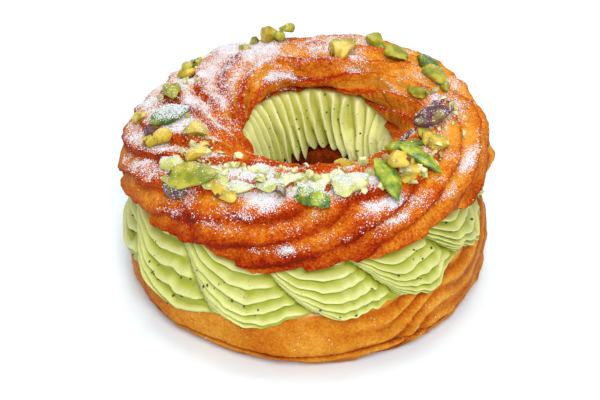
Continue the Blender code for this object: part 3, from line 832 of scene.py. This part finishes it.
def shapes_in_a_row(make_shape, doublings):
    """A bmesh of small shapes standing along X, doubled again and again."""
    mould = bmesh.new()
    make_shape(mould)
    for doubling in range(doublings):
        whole = mould.verts[:] + mould.edges[:] + mould.faces[:]
        copied = bmesh.ops.duplicate(mould, geom=whole)["geom"]
        fresh = [item for item in copied if isinstance(item, bmesh.types.BMVert)]
        bmesh.ops.translate(mould, verts=fresh, vec=(APART * 2**doubling, 0, 0))
    return mould


def grains(name, make_shape, doublings, pieces, sizes, generator):
    """Scatter a small shape over pieces; sizes is the range of diameters in mm."""
    mould = shapes_in_a_row(make_shape, doublings)
    count = 2**doublings
    spots, facing = scatter(pieces, count, generator)
    size = mix(sizes[0], sizes[1], generator.random(count) ** MOSTLY_SMALL) * MM
    middles = spots + facing * (size * generator.uniform(0.1, 0.45, count))[:, None]
    shape = np.array([vertex.co for vertex in mould.verts])
    number = np.round(shape[:, 0] / APART).astype(int)
    shape[:, 0] -= APART * number
    turned = np.einsum("nij,nj->ni", random_turns(count, generator)[number], shape)
    placed = turned * size[number, None] + middles[number]
    return to_piece(mould, name, placed, smooth=False)


# %% Sift the sugar
SUGAR_DOUBLINGS = 15


def pyramid(mould):
    bmesh.ops.create_cone(mould, segments=3, radius1=0.6, radius2=0, depth=0.9, cap_ends=True)
    bmesh.ops.remove_doubles(mould, verts=mould.verts, dist=1e-4)
    bmesh.ops.recalc_face_normals(mould, faces=mould.faces)


nuts = (kernels | chopped).items()
all_held = [
    (piece, NUT_SUGAR * SUGARED.get(name, 1.0), held_by(piece, lid_sugar)) for name, piece in nuts
]
all_held += [(lid, 1.0, lid_holds), (base, BASE_SUGAR, base_holds)]
sugar = [
    grains("icing_sugar_" + kind, pyramid, SUGAR_DOUBLINGS, held, sizes, rng)
    for kind, held, sizes in (
        ("dust", [(lid, 1.0, lid_holds)], (0.13, 0.28)), ("clumps", all_held, (0.16, 0.44))
    )
]
print("sugar faces:", {piece.name: len(piece.data.polygons) for piece in sugar})

# %% [markdown]
# ## Crumbs of nut
# Chopping leaves crumbs too.  They lie between the larger pieces along the belt at the front
# and behind it on both sides.  A crumb is a flat cone with five sides, cut off near its base,
# and the crumbs are scattered in the same way as the sugar.

# %% Scatter the crumbs
CRUMB_DOUBLINGS = 8


def belt_of_crumbs(spots, _):
    """How many crumbs a place on the lid holds, whichever way it faces."""
    turn, lift = angles_of(spots)
    front = hump(lift, 84, 14) * blend(-75, -45, turn) * blend(60, 40, turn)
    sides = hump(lift, 84, 16) * (hump(np.abs(turn), 85, 22) + hump(turn, -120, 22))
    return (front + 0.5 * sides) * np.clip(0.5 + bumps(spots, 0.006, 47), 0, 1)


def crumb(mould):
    bmesh.ops.create_cone(mould, segments=5, radius1=0.6, radius2=0.4, depth=0.3, cap_ends=True)


crumbs = grains(
    "pistachio_crumbs", crumb, CRUMB_DOUBLINGS, [(lid, 1.0, held_by(lid, belt_of_crumbs))],
    (0.6, 2.8), rng,
)
print("crumbs:", 2**CRUMB_DOUBLINGS, "with", len(crumbs.data.polygons), "faces")

# %% [markdown]
# ## Specks in the cream
# Pistachio paste isn't smooth: bits of the dark green skin stay in it.  The finest are part of
# the cream's finish; the larger ones are modelled, half sunk into the surface.

# %% Scatter the specks
SPECK_DOUBLINGS = 9


def cream_shown(spots, normals):
    """Where the cream can be seen: outside the ring and in the hole, in loose groups."""
    radius = np.hypot(spots[:, 0], spots[:, 1])
    clumps = np.clip(0.4 + bumps(spots, 0.008, 46), 0, 1)
    return clumps * ((radius > 0.046) | (radius < 0.026)) * (np.abs(normals[:, 2]) < 0.9)


def speck(mould):
    bmesh.ops.create_icosphere(mould, subdivisions=1, radius=0.5)
    bmesh.ops.scale(mould, vec=(1.0, 0.7, 0.55), verts=mould.verts)


specks = grains(
    "pistachio_specks", speck, SPECK_DOUBLINGS, [(cream, 1.0, held_by(cream, cream_shown))],
    (0.25, 1.1), rng,
)
print("specks:", 2**SPECK_DOUBLINGS, "with", len(specks.data.polygons), "faces")

# %% [markdown]
# ## Finishes
# Every finish is a Principled shader fed by patterns on Object coordinates, so a pattern's
# scale is worked out from its size: a noise of scale 1 changes over about a metre, so one that
# changes over `d` millimetres has scale 1 / (`d` * MM).  The pits of the dough and the finest
# powder are drawn at about 0.4 mm, coarser than they are, because they wouldn't show otherwise.


# %% Colours and nodes
SMOOTH, COLOURS = {"interpolation_type": "SMOOTHSTEP"}, {"data_type": "RGBA"}


def linear(hex_colour):
    """An sRGB colour such as "C06A3A" as the linear values that shaders take."""
    parts = [int(hex_colour[i : i + 2], 16) / 255 for i in (0, 2, 4)]
    return (*[p / 12.92 if p <= 0.04045 else ((p + 0.055) / 1.055) ** 2.4 for p in parts], 1.0)


def feed(tree, node, inputs):
    """Give each of these inputs its value, or link it to another node's output."""
    for name, value in inputs.items():
        if isinstance(value, bpy.types.NodeSocket):
            tree.links.new(value, node.inputs[name])
        else:
            node.inputs[name].default_value = value


def over(where, millimetres, detail=2.0):
    """The inputs of a noise that changes over that many millimetres."""
    return {"Vector": where, "Scale": 1 / (millimetres * MM), "Detail": detail}


def add(tree, kind, inputs, output=0, stops=(), **settings):
    """Add one node and return one of its outputs.

    inputs are found by name or number, settings are the node's own properties, and stops are
    the places and sRGB colours of a colour ramp.
    """
    node = tree.nodes.new("ShaderNode" + kind)
    for name, value in settings.items():
        setattr(node, name, value)
    for position, _ in stops[1:-1]:
        node.color_ramp.elements.new(position)
    for number, (position, colour) in enumerate(stops):
        element = node.color_ramp.elements[number]
        element.position, element.color = position, linear(colour)
    feed(tree, node, inputs)
    return node.outputs[output]


def new_finish(name):
    """A new material, its nodes, its shader and the Object coordinates."""
    made = bpy.data.materials.new(name)
    made.use_nodes = True
    tree = made.node_tree
    return made, tree, tree.nodes["Principled BSDF"], add(tree, "TexCoord", {}, "Object")


print("C06A3A in linear light:", [round(part, 3) for part in linear("C06A3A")])

# %% [markdown]
# ### Baked choux
# Choux dough browns where the oven's heat reaches it first: the edges turn red-brown while the
# middle of each ledge stays golden.  The steep faces under the edges and the valleys below them
# are darkened as painted shade, as are the crease of the lower half's fold, the valleys between
# its strands and its wall in the hole; the band under that fold and the edges of the strands are
# lightened as painted highlights.  The egg wash leaves a satin gloss over a skin that is finely
# pitted and mottled.  Where the knife went through, the crumb is pale and matt.


# %% Choux finishes
def choux(name, stops, gloss, grain):
    """Baked skin: grain is how strong its fine mottling is."""
    made, tree, shader, where = new_finish(name)
    browning_and_painted_light = add(tree, "Attribute", {}, "Fac", attribute_name="bake_and_painted_light")
    mottles = (5.0, 0.3), (1.8, 0.38 * grain), (0.7, 0.8 * grain), (0.4, 0.7 * grain)
    for millimetres, weight in mottles:
        mottle = add(tree, "TexNoise", over(where, millimetres))
        mottle = add(tree, "Math", {0: mottle, 1: 0.5}, operation="SUBTRACT")
        browning_and_painted_light = add(tree, "Math", {0: mottle, 1: weight, 2: browning_and_painted_light}, operation="MULTIPLY_ADD")
    skin = add(tree, "ValToRGB", {"Fac": browning_and_painted_light}, stops=stops)
    pores = add(tree, "TexNoise", over(where, 1.6))
    crumb_colour = add(tree, "ValToRGB", {"Fac": pores}, stops=[(0.3, "C98A45"), (0.7, "F0CF96")])
    opened = add(tree, "Attribute", {}, "Fac", attribute_name="crumb")
    colour = add(tree, "Mix", {"Factor": opened, 6: skin, 7: crumb_colour}, 2, **COLOURS)
    powder = add(tree, "Attribute", {}, "Fac", attribute_name="powder")
    bare = add(tree, "Math", {0: powder, 1: -0.31, 2: 0.84}, operation="MULTIPLY_ADD")
    film = add(tree, "TexNoise", over(where, 0.36, 1.0))
    film = add(tree, "Math", {0: film, 1: bare}, operation="SUBTRACT")
    film = add(tree, "MapRange", {"Value": film, "From Min": -0.02, "From Max": 0.10}, **SMOOTH)
    colour = add(tree, "Mix", {"Factor": film, 6: colour, 7: linear("E2DCE2")}, 2, **COLOURS)
    uneven = add(tree, "TexNoise", over(where, 1.5))
    rough = add(tree, "MapRange", {"Value": uneven, "To Min": gloss - 0.10, "To Max": gloss + 0.16})
    pits = add(tree, "TexNoise", over(where, 0.45, 3.0))
    pitted = add(tree, "Bump", {"Height": pits, "Strength": 0.55, "Distance": 0.0003})
    lumpy = add(
        tree, "Bump", {"Height": pores, "Normal": pitted, "Strength": 0.7, "Distance": 0.0008}
    )
    feed(tree, shader, {
        "Base Color": colour, "Roughness": rough, "Specular IOR Level": 0.04, "Normal": lumpy,
    })
    print(name, "has", len(tree.nodes), "nodes")
    return made


lid.data.materials.append(choux(
    "baked_choux_egg_washed",
    [(0.0, "DA9634"), (0.22, "CE7E20"), (0.42, "BE6010"), (0.62, "AA4406"), (0.82, "962800"),
     (1.0, "741600")],
    gloss=0.46, grain=1.0,
))
base.data.materials.append(choux(
    "baked_choux_golden",
    [(0.0, "DC9E42"), (0.22, "CC8424"), (0.42, "BA6814"), (0.62, "A44C08"), (0.82, "842E00"),
     (1.0, "5A1A00")],
    gloss=0.50, grain=0.6,
))

# %% [markdown]
# ### Pistachio cream
# Butter cream with pistachio paste: pale yellow-green, soft and a little greasy.  Light enters
# it and comes out again nearby, which softens its folds, so the shader scatters light over a
# couple of millimetres.  Fine specks of ground nut darken it here and there.

# %% Cream finish
cream_finish, tree, shader, where = new_finish("pistachio_butter_cream")
fold_mark = add(tree, "Attribute", {}, "Fac", attribute_name="crest")
# Painted shade and painted light: the cream is darker in the valleys of its folds and pleats and
# lighter on their crests, and in the hole it takes a paler copy of its colour.
fold_shade_stops = [(0.0, "979D1C"), (0.35, "B0B544"), (0.7, "C8CA74"), (1.0, "D2D48C")]
folds = add(tree, "ValToRGB", {"Fac": fold_mark}, stops=fold_shade_stops)
pleat_light_and_shade_stops = [(0.0, "C6C656"), (0.3, "E4E488"), (1.0, "F4F4B0")]
pleats = add(tree, "ValToRGB", {"Fac": fold_mark}, stops=pleat_light_and_shade_stops)
in_hole = add(tree, "Attribute", {}, "Fac", attribute_name="inner")
body = add(tree, "Mix", {"Factor": in_hole, 6: folds, 7: pleats}, 2, **COLOURS)
ground = add(tree, "TexNoise", over(where, 0.55, 1.0))
shown = add(tree, "MapRange", {"Value": ground, "From Min": 0.70, "From Max": 0.76}, **SMOOTH)
patches = add(tree, "TexNoise", over(where, 3.5))
patches = add(tree, "MapRange", {"Value": patches, "From Min": 0.45, "From Max": 0.65}, **SMOOTH)
speckled = add(tree, "Math", {0: shown, 1: patches}, operation="MULTIPLY")
speckled = add(tree, "Math", {0: speckled, 1: 0.75}, operation="MULTIPLY")
speck_colour = add(tree, "ValToRGB", {"Fac": ground}, stops=[(0.0, "5C6A22"), (1.0, "3C4A18")])
colour = add(tree, "Mix", {"Factor": speckled, 6: body, 7: speck_colour}, 2, **COLOURS)
lumps = add(tree, "TexNoise", over(where, 1.1))
soft = add(tree, "Bump", {"Height": lumps, "Strength": 0.35, "Distance": 0.0003})
feed(tree, shader, {
    "Base Color": colour, "Roughness": 0.45, "Normal": soft, "Subsurface Weight": 0.2,
    "Subsurface Radius": (1.0, 0.9, 0.35), "Subsurface Scale": 0.002,
})
cream.data.materials.append(cream_finish)
print(cream_finish.name, "has", len(tree.nodes), "nodes")

# %% [markdown]
# ### Pistachios and their skins
# The flesh of a pistachio runs from bright green just under the skin to yellow at the heart;
# roasting turns the yellow towards ochre.  The papery skin is purple-brown and stays in
# patches.  One function makes all these finishes, from the colours of the flesh and the skin.


# %% Pistachio finishes
def nut(name, light, dark, skin, skin_share):
    """Nut flesh between two colours, with patches of papery skin over a share of it."""
    made, tree, shader, where = new_finish(name)
    ripeness = add(tree, "TexNoise", over(where, 3.2, 3.0))
    flesh_colour = add(tree, "ValToRGB", {"Fac": ripeness}, stops=[(0.38, dark), (0.62, light)])
    veins = add(tree, "TexNoise", over(where, 0.8))
    skin_colour = add(tree, "ValToRGB", {"Fac": veins}, stops=[(0.3, "3E2026"), (0.7, skin)])
    patches = add(tree, "TexNoise", over(where, 3.4, 3.0))
    edge = {"From Min": 1 - skin_share, "From Max": 1 - skin_share + 0.08}
    patches = add(tree, "MapRange", {"Value": patches} | edge, **SMOOTH)
    colour = add(tree, "Mix", {"Factor": patches, 6: flesh_colour, 7: skin_colour}, 2, **COLOURS)
    wrinkles = add(tree, "TexNoise", over(where, 0.7, 3.0))
    wrinkled = add(tree, "Bump", {"Height": wrinkles, "Strength": 0.5, "Distance": 0.0003})
    feed(tree, shader, {
        "Base Color": colour, "Roughness": 0.34, "Normal": wrinkled, "Subsurface Weight": 0.08,
        "Subsurface Scale": 0.001,
    })
    return made


NUTS = {
    "bright": nut("pistachio_flesh_bright", "A8B42C", "44680C", "6A3A2C", 0.34),
    "green": nut("pistachio_flesh_green", "86902C", "48641A", "6E4030", 0.37),
    "olive": nut("pistachio_flesh_olive", "B4AC34", "7A8212", "6E3E26", 0.37),
    "yellow": nut("pistachio_flesh_yellow", "DABC48", "A08C14", "8A5420", 0.37),
    "pale": nut("pistachio_flesh_pale", "DEDC9C", "AEB450", "986A34", 0.30),
    "skin": nut("pistachio_papery_skin", "8A7A3A", "6A4A34", "6E4048", 0.60),
}
KERNEL_FINISH = {
    "long": "olive", "bright": "bright", "chunk": "pale", "dark": "bright", "slab": "yellow",
    "yellow": "yellow", "leaf_a": "bright", "leaf_b": "bright", "purple": "skin",
    "cluster_a": "olive", "cluster_b": "green", "round": "olive", "pale": "yellow",
    "green": "olive", "heaped": "green", "two_tone": "yellow",
}
for name, piece in nuts:
    finish_name = KERNEL_FINISH.get(name, name.removeprefix("chopped_"))
    piece.data.materials.append(NUTS[finish_name])
crumbs.data.materials.append(nut("pistachio_flesh_crumbs", "E6E4B6", "A2A650", "8A5626", 0.30))
print("nut finishes:", sorted(NUTS), "and the crumbs'")

# %% [markdown]
# ### Icing sugar and bits of skin
# Icing sugar is white, matt and slightly see-through, so its shadows stay light.  The bits of
# skin in the cream are the darkest green, and damp.

# %% Sugar and speck finishes
sugar_finish, tree, shader, where = new_finish("icing_sugar_powder")
whiteness = add(tree, "TexNoise", over(where, 2.0))
white = add(tree, "ValToRGB", {"Fac": whiteness}, stops=[(0.3, "DEDAE0"), (0.7, "E9E9EA")])
feed(tree, shader, {
    "Base Color": white, "Roughness": 0.7, "Subsurface Weight": 0.3, "Subsurface Scale": 0.0006,
})
for piece in sugar:
    piece.data.materials.append(sugar_finish)

speck_finish, tree, shader, where = new_finish("pistachio_skin_bits")
darkness = add(tree, "TexNoise", over(where, 1.2))
dark = add(tree, "ValToRGB", {"Fac": darkness}, stops=[(0.3, "2E3A14"), (0.7, "55661F")])
feed(tree, shader, {"Base Color": dark, "Roughness": 0.5})
specks.data.materials.append(speck_finish)
print("finishes in all:", len(bpy.data.materials))

# %% [markdown]
# ## Floor, light and camera
# The pastry stands on a plain white table under large soft lights, nearly without shadow.  The
# lights are wide, because food looks dry under small hard ones.

# %% Stage
mould = bmesh.new()
bmesh.ops.create_grid(mould, x_segments=2, y_segments=2, size=1.6)
floor = stand("white_table", to_mesh(mould, "white_table"))
floor_finish, tree, shader, _ = new_finish("white_laminate")
feed(tree, shader, {
    "Base Color": linear("EEF9FF"), "Roughness": 0.9, "Specular IOR Level": 0.1,
})
floor.data.materials.append(floor_finish)


def face(item, spot, aim):
    """Put a lamp or the camera at a spot and turn it towards another."""
    item.location = spot
    item.rotation_euler = (aim - spot).to_track_quat("-Z", "Y").to_euler()


def soft_light(name, spot, aim, size, watts):
    """A round lamp at a spot, facing another."""
    lamp = bpy.data.lights.new(name, "AREA")
    lamp.shape, lamp.size, lamp.energy = "DISK", size, watts
    face(stand(name, lamp), Vector(spot), Vector(aim))


soft_light("front", (0.06, -0.55, 0.57), (0, 0, 0.02), 0.36, 4.6)
soft_light("top", (0.0, 0.12, 0.75), (0, 0, 0.02), 0.45, 2.6)
world = bpy.data.worlds.new("studio_walls")
world.use_nodes = True
background = world.node_tree.nodes["Background"]
feed(world.node_tree, background, {"Color": (1, 1, 1, 1), "Strength": 0.48})
bpy.context.scene.world = world
bpy.context.scene.view_settings.view_transform = "Standard"
print("lamps:", {lamp.name: round(lamp.energy, 1) for lamp in bpy.data.lights})

# %% Camera
camera = bpy.data.cameras.new("camera")
camera.sensor_width = 36
camera.lens = 88.7
camera.shift_x = -0.0117
camera.shift_y = -0.0308
camera.clip_start = 0.01
elevation, distance, target = math.radians(34), 0.42, Vector((0, 0, 0.027))
eye = target + distance * Vector((0, -math.cos(elevation), math.sin(elevation)))
bpy.context.scene.camera = stand("camera", camera)
face(bpy.context.scene.camera, eye, target)
print("the camera stands at", [round(part, 3) for part in eye])
